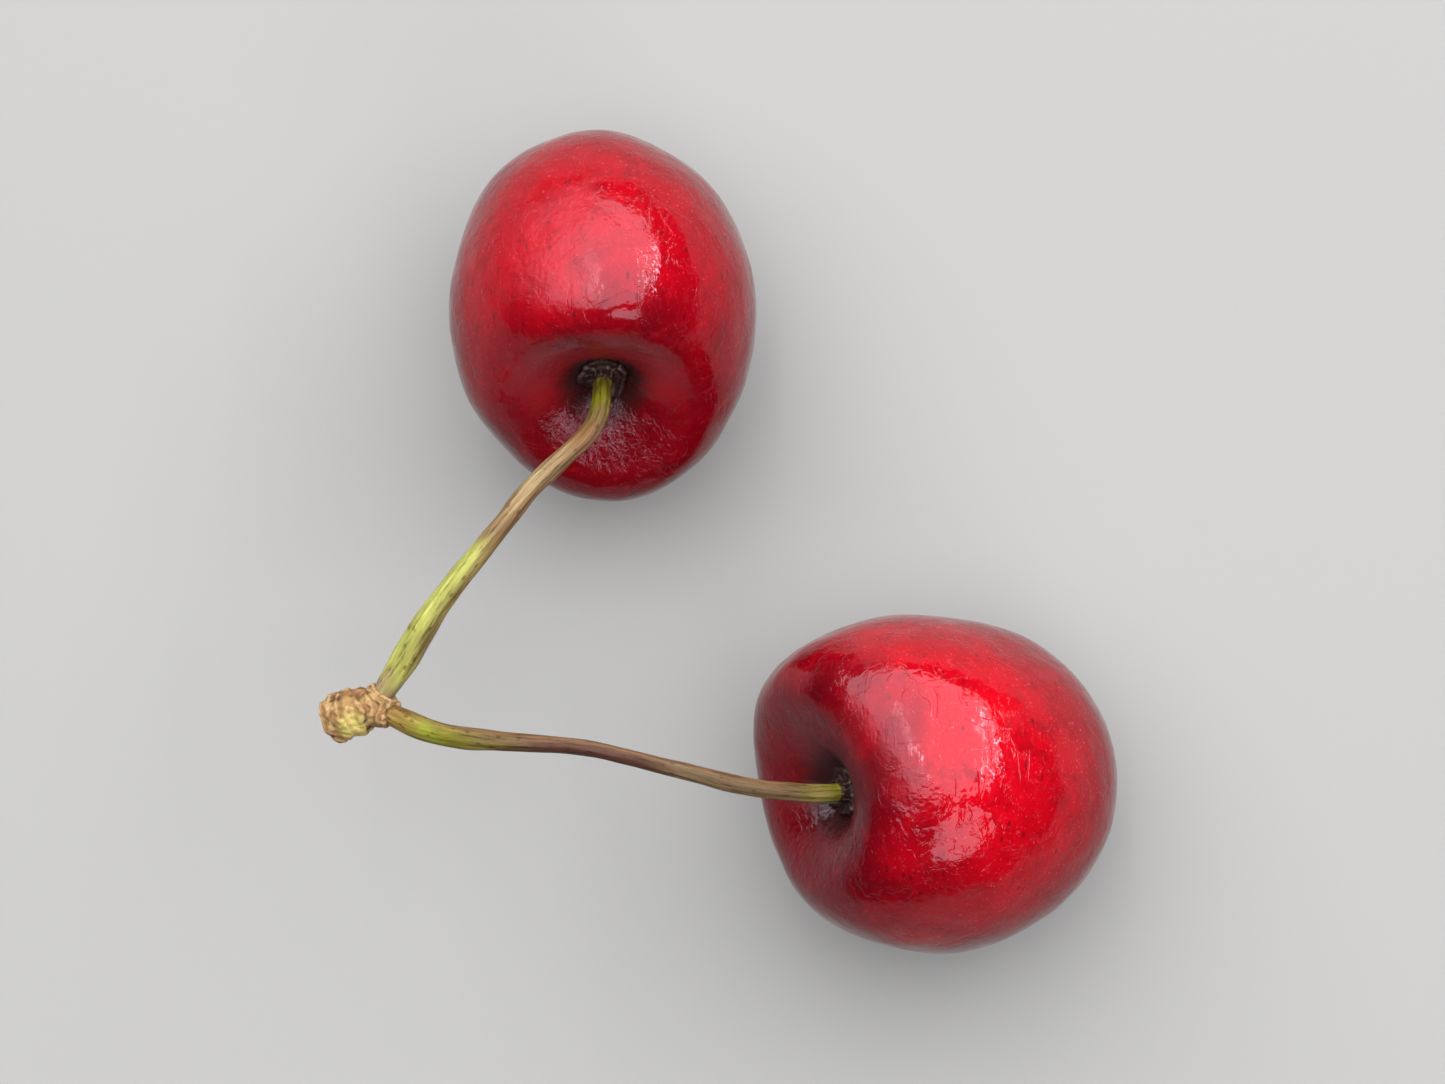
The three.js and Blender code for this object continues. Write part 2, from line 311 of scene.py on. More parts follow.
def collar_outline(side):
    """The collar of a stalk as (along, radius), from its underside over rim and dish to the shaft."""
    cherry = CHERRIES[side]
    seat = throat_height(cherry, 0)
    reaches = np.linspace(UNDERSIDE["from_radius"], FOOT["radius"], UNDERSIDE["points"])
    under = [(throat_height(cherry, reach) - seat, reach) for reach in reaches]
    rim_top = under[-1][0] + FOOT["rim"]
    dish_floor = rim_top - FOOT["dish"]
    rim = [(rim_top + over, FOOT["radius"] - inwards) for over, inwards in RIM_SECTION]
    dish = [(dish_floor + over, FOOT["neck"] + outwards) for over, outwards in DISH_SECTION]
    shaft = (rim_top + FOOT["rim"], STALK_RADII[side][0][1] + SHAFT_FLARE)
    return catmull_rom([*under, *rim, *dish, shaft], COLLAR_STEPS)


def stalk_outline(side, length):
    """A whole stalk as (along, radius), and how far along it the collar ends."""
    collar = collar_outline(side)
    collar_end = collar[-1, 0]
    radii = [(share * length, radius) for share, radius in STALK_RADII[side]]
    widths = catmull_rom(radii, ROUTE_STEPS)
    shaft_along = np.arange(collar_end + STALK_STEP, length, STALK_STEP)
    shaft = np.stack([shaft_along, np.interp(shaft_along, widths[:, 0], widths[:, 1])], axis=-1)
    return np.concatenate([collar, shaft]), collar_end


def directions_along(route, along):
    """The middle of a route, the way it heads, its right and its top, at the given lengths along it."""
    distance = lengths_along(route)
    headings = np.gradient(route, distance, axis=0)
    middle, ahead = (
        np.stack([np.interp(along, distance, values[:, i]) for i in range(3)], axis=-1)
        for values in (route, headings)
    )
    aside = np.cross(ahead, (0, 0, 1))
    aside /= np.linalg.norm(aside, axis=1, keepdims=True)
    return middle, ahead, aside, np.cross(aside, ahead)


def make_stalk(side, origin, seed):
    """A stalk's fine mesh, with each point's place round and along it, and how much of it is collar."""
    route = stalk_route(side, origin)
    length = lengths_along(route)[-1]
    outline, collar_end = stalk_outline(side, length)
    angle = TURN * np.arange(STALK_SIDES)[None, :] / STALK_SIDES
    along, radius, angle = np.broadcast_arrays(outline[:, :1], outline[:, 1:], angle)
    place = np.stack([np.cos(angle), np.sin(angle), along], axis=-1)

    fade_start, fade_end = COLLAR_FADE
    collar = 1 - smooth(along, collar_end + fade_start, collar_end + fade_end)
    rim = smooth(radius, CRINKLES_FROM, FOOT["radius"]) * collar
    grooves = relief(place, STALK_LINES, seed) + relief(place, STALK_KNOBS, seed + 1)
    crinkles = relief(place, COLLAR_CRINKLES, seed + 2) * rim
    reach = radius * (1 + (1 - collar) * grooves + crinkles)
    lift = CRINKLE_LIFT * crinkles

    frames = directions_along(route, outline[:, 0])
    middle, ahead, aside, top = (values[:, None, :] for values in frames)
    spokes = top * np.cos(angle)[..., None] + aside * np.sin(angle)[..., None]
    rings = middle + ahead * lift[..., None] + spokes * reach[..., None]
    vertices, faces = closed_grid(rings, route[0], route[-1])
    place = np.concatenate([place.reshape(-1, 3), [(1, 0, 0), (1, 0, length)]])
    collar = np.concatenate([collar.ravel(), [1, 0]])
    return vertices, faces, dict(place=place, share=place[:, 2] / length, collar=collar)


# ---- Spur ----


def seeded(seed):
    """Repeatable draws between 0 and 1, the same as the solids'."""
    multiplier, modulus = 16807, 2**31 - 1
    state = seed
    while True:
        state = state * multiplier % modulus
        yield state / modulus


def lathe(outline, turn, at, sides):
    """A closed solid of revolution about a turned axis, from (along, radius) points."""
    outline = np.array(outline)
    angle = TURN * np.arange(sides)[None, :] / sides
    along, radius = outline[:, :1], outline[:, 1:]
    rings = np.stack(np.broadcast_arrays(radius * np.cos(angle), radius * np.sin(angle), along), axis=-1)
    vertices, faces = closed_grid(rings, (0, 0, outline[0, 0]), (0, 0, outline[-1, 0]))
    return vertices @ turn.T + at, faces


def ringed_branch(start, end, radii, rings):
    """A tapering woody length, by its radius at the start, middle and end, ringed with scale scars."""
    start_radius, middle_radius, end_radius = radii
    length = np.linalg.norm(end - start)
    steps = rings * RING_STEPS
    belly = middle_radius - (start_radius + end_radius) / 2
    outline = []
    for i in range(steps + 1):
        share = i / steps
        radius = start_radius + (end_radius - start_radius) * share + belly * math.sin(math.pi * share)
        outline.append((share * length, radius + RINGS["rise"] * (1 - i % RING_STEPS / RING_STEPS)))
    return lathe(outline, turn_from_z(end - start), start, BRANCH_SIDES)


def bud_scales():
    """The dry scales that clasp the spur's body, set round it by the golden angle and tipped outwards."""
    draw = seeded(SCALES["seed"])
    axis = BROKEN_END - FORK
    to_body = turn_from_z(axis)
    golden_angle = math.pi * (3 - math.sqrt(5))
    pole = 0.02  # how far from its poles, in radians, a scale's rings start and end
    polar = np.linspace(pole, math.pi - pole, SCALE_RINGS)
    round_outline = list(zip(np.cos(polar), np.sin(polar)))[::-1]
    made = []
    for i in range(SCALES["count"]):
        share = SCALES["first"] + (SCALES["last"] - SCALES["first"]) * i / (SCALES["count"] - 1)
        size = SCALES["least"] + SCALES["growth"] * next(draw)
        tip = Euler((0, -SCALES["tip"] - SCALES["tip_chance"] * next(draw), 0)).to_matrix()
        round_body = Euler((0, 0, i * golden_angle + SCALES["turn_chance"] * next(draw))).to_matrix()
        scale, faces = lathe(round_outline, np.eye(3), np.zeros(3), SCALE_SIDES)
        scale = scale * (SCALES["thick"], SCALES["across"] * size, SCALES["along"] * size)
        scale = scale @ np.array(tip).T + (SPUR_RADII["body"] * SCALES["seat"], 0, 0)
        scale = scale @ np.array(round_body).T @ to_body.T + FORK + axis * share
        made.append((scale, faces))
    return made


def joined(solids):
    """Several solids' vertices and faces in one list."""
    vertices, faces = [], []
    count = 0
    for points, polygons in solids:
        vertices.append(points)
        faces += [tuple(corner + count for corner in polygon) for polygon in polygons]
        count += len(points)
    return np.concatenate(vertices), faces


def fused(solids):
    """One closed skin round several solids, as a bare mesh."""
    vertices, faces = joined(solids)
    rough = bpy.data.meshes.new("spur_rough")
    rough.from_pydata(vertices.tolist(), [], faces)
    holder = bpy.data.objects.new("spur_rough", rough)
    bpy.context.scene.collection.objects.link(holder)
    remesh = holder.modifiers.new("fuse", "REMESH")
    remesh.mode = "VOXEL"
    remesh.voxel_size = SPUR_VOXEL
    skin = bpy.data.meshes.new_from_object(holder.evaluated_get(bpy.context.evaluated_depsgraph_get()))
    bpy.data.objects.remove(holder)
    bpy.data.meshes.remove(rough)
    return skin


def rows_of(elements, name, width, kind=float):
    """A property of a mesh's elements as an array, with so many numbers in a row."""
    values = np.empty(len(elements) * width, kind)
    elements.foreach_get(name, values)
    return values.reshape(-1, width)


def neighbour_mean(values, edges):
    """The mean of each vertex's neighbours."""
    total = np.zeros_like(values)
    share = np.zeros((len(values), 1))
    for a, b in ((0, 1), (1, 0)):
        np.add.at(total, edges[:, a], values[edges[:, b]])
        np.add.at(share, edges[:, a], 1)
    return total / share


def make_spur(seed):
    """The whole spur: one weathered skin round its body, two necks and scales, with its creases marked."""
    radii = SPUR_RADII
    body_radii = (radii["fork"], radii["body"], radii["broken"])
    neck_radii = (radii["fork"], radii["neck_middle"], radii["neck"])
    solids = [ringed_branch(FORK, BROKEN_END, body_radii, RINGS["body"])]
    for side in CHERRIES:
        end = FORK + neck_direction(side) * NECK_LENGTH
        solids.append(ringed_branch(FORK, end, neck_radii, RINGS["neck"]))
    skin = fused(solids + bud_scales())

    edges = rows_of(skin.edges, "vertices", 2, int)
    faces = [tuple(polygon.vertices) for polygon in skin.polygons]
    points = neighbour_mean(rows_of(skin.vertices, "co", 3), edges)
    smoothed = points
    for _ in range(CREASE_ROUNDS):
        smoothed = neighbour_mean(smoothed, edges)
    skin.vertices.foreach_set("co", points.ravel())
    skin.update()
    normals = rows_of(skin.vertices, "normal", 3)
    bpy.data.meshes.remove(skin)

    weathering = relief(points, BARK_LUMPS, seed) + relief(points, BARK_PITS, seed + 1)
    crease = ((smoothed - points) * normals).sum(axis=1) - weathering / 2
    points = points + normals * weathering[:, None]
    return points, faces, dict(place=points, creased=crease)


# ---- Shader nodes ----


class Nodes:
    """A node tree, built from short calls that each add one node or a few."""

    def __init__(self, tree):
        self.tree = tree

    def put(self, value, socket):
        """Feeds a socket from an output, or sets it to a plain value."""
        if isinstance(value, bpy.types.NodeSocket):
            self.tree.links.new(value, socket)
        elif socket.type == "RGBA":
            socket.default_value = (*value, 1)
        else:
            socket.default_value = value

    def add(self, kind, inputs, **settings):
        """A node with its settings and inputs, by socket name or number."""
        made = self.tree.nodes.new("ShaderNode" + kind)
        for name, value in settings.items():
            setattr(made, name, value)
        for key, value in inputs.items():
            self.put(value, made.inputs[key])
        return made

    def attribute(self, name):
        """A mesh's attribute of three numbers."""
        return self.add("Attribute", {}, attribute_name=name).outputs["Vector"]

    def measure(self, name):
        """A mesh's attribute of one number."""
        return self.add("Attribute", {}, attribute_name=name).outputs["Fac"]

    def parts(self, vector):
        return self.add("SeparateXYZ", {0: vector}).outputs[:]

    def math(self, operation, *values):
        return self.add("Math", dict(enumerate(values)), operation=operation).outputs[0]

    def product(self, first, *others):
        for other in others:
            first = self.math("MULTIPLY", first, other)
        return first

    def line(self, value, times, plus):
        return self.math("MULTIPLY_ADD", value, times, plus)

    def stretched(self, vector, by):
        return self.add("VectorMath", {0: vector, 1: by}, operation="MULTIPLY").outputs[0]

    def dot(self, vector, other):
        return self.add("VectorMath", {0: vector, 1: other}, operation="DOT_PRODUCT").outputs["Value"]

    def distance(self, vector, point):
        return self.add("VectorMath", {0: vector, 1: point}, operation="DISTANCE").outputs["Value"]

    def rise(self, value, start, end, curve="SMOOTHSTEP"):
        """0 at the start value and 1 at the end value; the start may be the greater."""
        inputs = {"Value": value, "From Min": start, "From Max": end}
        return self.add("MapRange", inputs, interpolation_type=curve).outputs[0]

    def noise(self, vector, size, detail=2.0, warp=0.0, roughness=0.5):
        """Cloudy noise from 0 to 1 whose clouds are about this size."""
        inputs = {"Vector": vector, "Scale": 1 / size, "Detail": detail, "Distortion": warp}
        inputs["Roughness"] = roughness
        return self.add("TexNoise", inputs).outputs["Fac"]

    def spots(self, vector, apart, radius, draw, shown):
        """Round spots of this radius, about this far apart, of which about this share is shown.

        draw picks the part of each spot's random colour that decides whether it shows.
        """
        soft_edge = dict(start=radius / apart * 1.3, end=radius / apart * 0.6)
        soft_choice = dict(start=1 - shown - 0.05, end=1 - shown + 0.15)
        cells = self.add("TexVoronoi", {"Vector": vector, "Scale": 1 / apart})
        spot = self.rise(cells.outputs["Distance"], **soft_edge)
        return self.product(spot, self.rise(self.dot(cells.outputs["Color"], draw), **soft_choice))

    def inside(self, vector, balls, ragged, soft):
        """1 inside any of the balls, given as (middle, radius), and 0 outside.

        ragged is a distance that varies and moves the edge in and out, and the edge fades over twice soft.
        """
        share = 0.0
        for middle, radius in balls:
            away = self.math("ADD", ragged, self.distance(vector, middle))
            share = self.math("MAXIMUM", self.rise(away, radius + soft, radius - soft), share)
        return share

    def mix(self, share, colour, other, blend="MIX"):
        made = self.add("Mix", {0: share, 6: colour, 7: other}, data_type="RGBA", blend_type=blend)
        return made.outputs[2]

    def ramp(self, value, stops):
        """A colour for each value, from (value, colour) stops."""
        made = self.add("ValToRGB", {0: value})
        elements = made.color_ramp.elements
        while len(elements) < len(stops):
            elements.new(0.5)
        for element, (position, colour) in zip(elements, stops):
            element.position = position
            element.color = (*colour, 1)
        return made.outputs["Color"]

    def bump(self, height, rise, under=None):
        """Relief that stands this many millimetres high, on top of other relief if it is given."""
        inputs = {"Height": height, "Distance": rise * MM, "Strength": 1.0}
        if under is not None:
            inputs["Normal"] = under
        return self.add("Bump", inputs).outputs["Normal"]


class Surface(Nodes):
    """A material with one Principled shader."""

    def __init__(self, name, values):
        self.material = bpy.data.materials.new(name)
        self.material.use_nodes = True
        super().__init__(self.material.node_tree)
        self.sockets = self.tree.nodes["Principled BSDF"].inputs
        for socket, value in values.items():
            self.put(value, self.sockets[socket])

    def finish(self, colour, roughness, normal):
        """The finished material, with its colour, roughness and relief fed in."""
        self.put(colour, self.sockets["Base Color"])
        self.put(roughness, self.sockets["Roughness"])
        self.put(normal, self.sockets["Normal"])
        return self.material


# ---- Skin ----

# Colours, here and below, are linear red, green and blue.
SKIN_COLOURS = dict(
    deep=(0.075, 0.0004, 0.002),
    # The pale red of lenticels, brightened to serve also as painted glints.
    pore_and_glint=(0.5, 0.05, 0.06),
    bloom=(0.42, 0.012, 0.022),
    fleck=(0.045, 0.001, 0.003),
    hollow=(0.16, 0.0007, 0.003),
    # Russet skin, darkened further with painted shade deep round the stalk.
    cavity=(0.02, 0.004, 0.004),
    scar=(0.08, 0.035, 0.015),
)
# The ripe red of each cherry's flanks; the dark red of its crown, which is partly its own colour and partly
# painted shade round the stalk end; and how far down from the stalk the crown starts to give way and over
# what stretch it does, as shares of the way to the tip.
RIPE = dict(left=(0.235, 0.0004, 0.004), right=(0.345, 0.0005, 0.005))
CROWN_RED_AND_SHADE = dict(left=(0.04, 0.0005, 0.0025), right=(0.022, 0.0004, 0.002))
RIPE_FROM = dict(left=0.19, right=0.26)
RIPE_SPAN = 0.32
HOLLOW_RED = dict(left=0.8, right=0.08)  # how much of its own red the hollow has where it is sheltered
# Where each skin is wettest and mirrors the light cleanly, and where it has dried: a middle and a radius.
WET = dict(
    left=[((-4.5, 18.2, 23.0), 3.0), ((-7.4, 15.0, 22.5), 1.6)],
    right=[((16.5, -15.0, 23.0), 8.0)],
)
DRY = dict(
    left=[((-10.5, 18.5, 22.0), 4.5)],
    right=[((22.5, -11.0, 20.0), 3.0), ((9.8, -15.2, 22.0), 3.4)],
)
# A film of water, whose reflections are a little pink, over flesh that lets some red light through.
SKIN = {
    "IOR": 1.34,
    "Specular Tint": (1.0, 0.84, 1.0),
    "Subsurface Weight": 0.15,
    "Subsurface Radius": (1.0, 0.2, 0.12),
    "Subsurface Scale": 1.2 * MM,
}


class Skin(Surface):
    """Wet ripe skin: mottled red, dark round the stalk partly with painted shade, with pale pores that are
    partly painted glints, flecks and a film of water.
    """

    def __init__(self, name, side):
        super().__init__(name, SKIN)
        self.side = side
        self.place = self.attribute("place")
        self.lying = self.attribute("lying")
        meridian = self.attribute("meridian")
        towards_cheek, _, self.down = self.parts(meridian)
        self.reach = self.math("SQRT", self.dot(self.stretched(self.place, (1, 1, 0)), self.place))
        self.upper = self.rise(self.down, start=0.4, end=0.3)

        # The hollow is crinkled on the side of the +X cheek. The rest of it is sheltered, and dull.
        crinkled = self.product(self.rise(self.reach, start=7, end=5), self.upper)
        self.crinkled = self.product(crinkled, self.rise(towards_cheek, start=0.0, end=0.5))
        hollow = self.product(self.rise(self.reach, start=7.0, end=4.2), self.upper)
        self.sheltered = self.product(hollow, self.line(self.crinkled, -1.0, plus=1.0))

        seam_angle = math.radians(CHERRIES[side]["seam_at"])
        seam_side = self.dot(meridian, (math.cos(seam_angle), math.sin(seam_angle), 0))
        below_hollow = self.rise(self.down, start=0.35, end=0.55)
        self.seam = self.product(self.rise(seam_side, start=0.9985, end=0.9999), below_hollow)

        film = self.noise(self.place, size=2.6, detail=5, warp=0.5, roughness=0.6)
        self.film = self.rise(film, start=0.44, end=0.48)
        ragged = self.line(self.noise(self.place, size=3.0, detail=4), 5.0, plus=-2.5)
        self.wet = self.inside(self.lying, WET[side], ragged, soft=1.5)
        self.dry = self.inside(self.lying, DRY[side], ragged, soft=2.5)

    def tinted(self, colour, share, name, most=1.0):
        """A colour mixed with a named one, by at most this share."""
        return self.mix(self.product(share, most), colour, SKIN_COLOURS[name])

    def ripened_and_shaded(self):
        """The broad colours, from crown to ripe flank, with painted shade low down and partly at the crown;
        darker at the tip, mottled, streaked.
        """
        broad = self.noise(self.place, size=5.0)
        ripeness = self.line(broad, 0.3, plus=self.down)
        ripe_from = RIPE_FROM[self.side]
        ripe = self.rise(ripeness, start=ripe_from, end=ripe_from + RIPE_SPAN)
        # The crown's dark red is partly its own colour and partly painted shade round the stalk end.
        colour = self.mix(ripe, CROWN_RED_AND_SHADE[self.side], RIPE[self.side])
        # Painted shade: the red darkens low down on the fruit, where shade falls.
        height = self.line(broad, 6.0, plus=self.parts(self.lying)[2])
        colour = self.tinted(colour, self.rise(height, start=30, end=15), "deep", most=0.9)
        mottle = self.noise(self.place, size=1.7, detail=6, warp=0.4, roughness=0.7)
        colour = self.tinted(colour, self.rise(mottle, start=0.45, end=0.7), "deep", most=0.45)
        drawn_out = self.stretched(self.lying, (1.4, 0.55, 1.4))
        bloom = self.noise(drawn_out, size=0.9, detail=5, roughness=0.7)
        colour = self.tinted(colour, self.rise(bloom, start=0.5, end=0.8), "bloom", most=0.2)
        colour = self.tinted(colour, self.rise(ripeness, start=0.78, end=1.02), "deep", most=0.55)
        return colour, ripeness

    def spotted(self, colour, ripeness):
        """A colour with pale pores, which are partly lenticels and partly painted glints and show most where
        the skin is ripe, and dark flecks.
        """
        strewn = self.rise(self.noise(self.place, size=3.0), start=0.42, end=0.62)
        # Pale pores: lenticels, and painted glints on the skin.
        pores_and_glints = self.spots(self.place, apart=0.42, radius=0.085, draw=(1, 0, 0), shown=0.4)
        fine_pores_and_glints = self.spots(self.place, apart=0.26, radius=0.06, draw=(0, 1, 0), shown=0.6)
        ripe = self.rise(ripeness, start=0.3, end=0.6)
        for spots, most in ((fine_pores_and_glints, 0.22), (self.product(pores_and_glints, strewn), 0.36)):
            unripe_most = 0.3 * most
            shown = self.line(ripe, most - unripe_most, plus=unripe_most)
            colour = self.tinted(colour, self.product(spots, shown), "pore_and_glint")
        drawn_out = self.stretched(self.lying, (1, 0.35, 1))
        flecks = self.spots(drawn_out, apart=0.8, radius=0.12, draw=(0, 0, 1), shown=0.45)
        return self.tinted(colour, flecks, "fleck", most=0.7)

    def marked(self, colour):
        """A colour with the seam, the hollow, the dark cavity round the stalk, which is russet skin and
        painted shade, and the scar at the tip.
        """
        colour = self.mix(self.product(self.seam, 0.2), colour, CROWN_RED_AND_SHADE[self.side])
        colour = self.tinted(colour, self.sheltered, "hollow", most=HOLLOW_RED[self.side])
        # The cavity: russet skin and painted shade round the stalk.
        ragged = self.line(self.noise(self.place, size=0.9, detail=4), 1.2, plus=self.reach)
        cavity = self.product(self.rise(ragged, start=4.4, end=2.6), self.upper)
        colour = self.tinted(colour, cavity, "cavity")
        return self.tinted(colour, self.rise(self.down, start=0.978, end=0.99), "scar")

    def wrinkles(self):
        """Fine wrinkles in the film of water, most of them where the skin is wettest."""
        field = self.noise(self.stretched(self.lying, (1.0, 0.16, 1.0)), size=1.2, warp=0.3)
        from_line = self.math("ABSOLUTE", self.math("SUBTRACT", field, 0.5))
        wrinkle = self.rise(from_line, start=0.03, end=0.0)
        here = self.rise(self.noise(self.place, size=2.4), start=0.5, end=0.6)
        return self.product(wrinkle, here, self.line(self.wet, 0.85, plus=0.15))

    def normals(self):
        """Soft dents, grain, the ragged rim of the film, its wrinkles, the crinkled hollow and the seam."""
        dents = self.noise(self.place, size=2.0, detail=3)
        grain = self.product(self.noise(self.place, size=0.35), self.line(self.dry, 0.75, plus=0.25))
        crinkles = self.product(self.noise(self.place, size=0.6, detail=4, warp=1.0), self.crinkled)
        normal = None
        for height, rise in (
            (dents, 0.12),
            (grain, 0.035),
            (self.film, 0.016),
            (self.wrinkles(), 0.022),
            (crinkles, 0.10),
            (self.seam, -0.05),
        ):
            normal = self.bump(height, rise, normal)
        return normal

    def dullness(self):
        """The roughness: least in the film and where it is wettest, most in dry and sheltered places."""
        bare = self.line(self.noise(self.place, size=0.8, detail=4), 0.16, plus=0.08)
        filmed = self.product(bare, self.line(self.film, -0.35, plus=1.0))
        dull = self.product(filmed, self.line(self.wet, -0.5, plus=1.0))
        dull = self.line(self.dry, 0.3, plus=dull)
        return self.line(self.sheltered, 0.34, plus=dull)


def skin_material(side):
    skin = Skin(f"{side}_skin", side)
    colour, ripeness = skin.ripened_and_shaded()
    colour = skin.marked(skin.spotted(colour, ripeness))
    return skin.finish(colour, skin.dullness(), skin.normals())


# ---- Bark ----

# The tints of the stalks and of their collars.
BARK = dict(
    moss=(0.055, 0.036, 0.006), russet=(0.1, 0.05, 0.018), tan=(0.13, 0.083, 0.038),
    straw=(0.175, 0.127, 0.064), lime=(0.215, 0.22, 0.052), khaki=(0.14, 0.11, 0.03),
    olive=(0.085, 0.065, 0.018), drab=(0.068, 0.043, 0.021), brown=(0.04, 0.015, 0.009),
    leaf=(0.08, 0.068, 0.006), green=(0.13, 0.14, 0.011), flare=(0.14, 0.085, 0.022),
    umber=(0.1, 0.052, 0.024), husk=(0.017, 0.007, 0.006), dry=(0.08, 0.054, 0.046),
    sap=(0.1, 0.095, 0.004),
)
# Which of them a stalk has at shares of its length, from the cherry to the spur.
STALK_COLOURS = dict(
    left=[
        (0.0, "sap"), (0.05, "sap"), (0.09, "moss"), (0.13, "sap"), (0.18, "olive"), (0.25, "russet"),
        (0.32, "tan"), (0.4, "straw"), (0.48, "tan"), (0.54, "tan"), (0.61, "lime"), (0.92, "lime"),
        (0.99, "straw"),
    ],
    right=[
        (0.0, "sap"), (0.06, "sap"), (0.1, "khaki"), (0.14, "olive"), (0.18, "drab"), (0.4, "drab"),
        (0.48, "brown"), (0.68, "brown"), (0.77, "olive"), (0.84, "leaf"), (0.9, "green"), (0.97, "flare"),
    ],
)
FIBRES = dict(light=(1.45, 1.5, 1.6), dark=(0.42, 0.36, 0.32))  # what they multiply a stalk's colour by
# The browner side of a stalk: sun-browned on the right stalk, and painted shade on the side away from the
# light on the left stalk. 1 is the right of a stalk seen from its cherry, -1 is its left.
BROWN_AND_SHADE_SIDE = dict(left=-1, right=1)
# The ridge colour is a painted highlight and the crease colour is painted shade.
SPUR_COLOURS = dict(
    brown=(0.12, 0.053, 0.021), tan=(0.18, 0.106, 0.038), flake=(0.27, 0.178, 0.082),
    grain=(0.25, 0.165, 0.072), scar=(0.27, 0.22, 0.06), ridge_highlight=(0.27, 0.16, 0.085),
    crease=(0.055, 0.026, 0.011),
)
SPUR_SCAR = FORK * 0.55 + BROKEN_END * 0.45 + (0.2, -0.9, 1.0)  # on the upper side of the body


def stalk_colour(bark, side, place, share, fibres, specks):
    """A stalk's colours along it, browner in patches and on one side, which is sun-browned on the right
    stalk and painted shade on the left, with fibres and specks.
    """
    patches = bark.noise(bark.stretched(place, (1.0, 1.0, 0.5)), size=1.3, detail=3)
    wander = bark.line(patches, 0.12, plus=-0.06)
    stops = [(at, BARK[name]) for at, name in STALK_COLOURS[side]]
    colour = bark.ramp(bark.math("ADD", share, wander), stops)
    patch = bark.product(bark.rise(patches, start=0.54, end=0.76), 0.5)
    colour = bark.mix(patch, colour, BARK["umber"])

    # Browner on one side: sun-browned on the right stalk, painted shade on the left stalk.
    streaks = bark.noise(bark.stretched(place, (1.6, 1.6, 0.1)), size=1.0, detail=3, roughness=0.6)
    brown_and_shade_field = bark.line(bark.parts(place)[1], 0.5 * BROWN_AND_SHADE_SIDE[side], plus=streaks)
    past_collar = bark.rise(share, start=0.08, end=0.24)
    less_at_spur = bark.line(bark.rise(share, start=0.84, end=0.94), -0.5, plus=1.0)
    browned_and_shaded = bark.product(bark.rise(brown_and_shade_field, start=0.45, end=0.85), past_collar, less_at_spur, 0.75)
    colour = bark.mix(browned_and_shaded, colour, BARK["umber"])

    colour = bark.mix(bark.rise(fibres, start=0.5, end=0.66), colour, FIBRES["dark"], "MULTIPLY")
    colour = bark.mix(bark.rise(fibres, start=0.47, end=0.33), colour, FIBRES["light"], "MULTIPLY")
    return bark.mix(bark.product(specks, 0.75), colour, FIBRES["dark"], "MULTIPLY")


def stalk_material(side):
    """A drying green stalk: lengthwise fibres, brown patches and specks, and a dark crinkled collar."""
    bark = Surface(f"{side}_stalk_bark", {"Specular IOR Level": 0.12})
    place = bark.attribute("place")
    share = bark.measure("share")
    collar = bark.measure("collar")
    fibres = bark.noise(bark.stretched(place, (3.2, 3.2, 0.32)), size=1.0, detail=5, roughness=0.7)
    drawn_out = bark.stretched(place, (1, 1, 0.6))
    specks = bark.spots(drawn_out, apart=0.46, radius=0.12, draw=(1, 0, 0), shown=0.45)
    rough = bark.noise(bark.stretched(place, (2.0, 2.0, 1.6)), size=0.6, detail=4)
    husk = bark.mix(bark.rise(rough, start=0.5, end=0.72), BARK["husk"], BARK["dry"])
    colour = stalk_colour(bark, side, place, share, fibres, specks)
    colour = bark.mix(bark.rise(collar, start=0.35, end=0.8), colour, husk)
    normal = bark.bump(fibres, 0.05)
    normal = bark.bump(specks, 0.02, normal)
    normal = bark.bump(bark.product(rough, collar), 0.12, normal)
    return bark.finish(colour, bark.line(fibres, 0.4, plus=0.25), normal)


def spur_material():
    """Young bark: flaking tan to brown, with a painted highlight on its ridges and painted shade in its
    creases, and a green scar.
    """
    bark = Surface("spur_bark", {"Specular IOR Level": 0.15})
    place = bark.attribute("place")
    crease = bark.measure("creased")
    clouds = bark.noise(place, size=1.1, detail=4)
    grain = bark.noise(place, size=0.28, detail=5, roughness=0.65)
    flakes = bark.rise(bark.noise(place, size=0.75, detail=3, warp=0.6), start=0.5, end=0.62)
    from_scar = bark.line(clouds, 0.8, plus=bark.distance(place, tuple(SPUR_SCAR)))
    colour = SPUR_COLOURS["brown"]
    for share, name in (
        (bark.rise(clouds, start=0.35, end=0.65), "tan"),
        (bark.product(flakes, 0.75), "flake"),
        (bark.rise(grain, start=0.5, end=0.72), "grain"),
        (bark.rise(from_scar, start=1.9, end=1.0), "scar"),
        # Painted highlight on the ridges and painted shade in the creases, by how creased the bark is.
        (bark.rise(crease, start=-0.03, end=-0.09), "ridge_highlight"),
        (bark.rise(crease, start=0.01, end=0.09), "crease"),
    ):
        colour = bark.mix(share, colour, SPUR_COLOURS[name])
    normal = bark.bump(grain, 0.06)
    normal = bark.bump(bark.noise(place, size=0.6, detail=3, warp=1.0), 0.08, normal)
    return bark.finish(colour, bark.line(grain, 0.3, plus=0.5), normal)


# ---- Pieces ----


def to_frame(points, offset):
    """Layout millimetres as metres in the frame."""
    return (points + offset) * MM


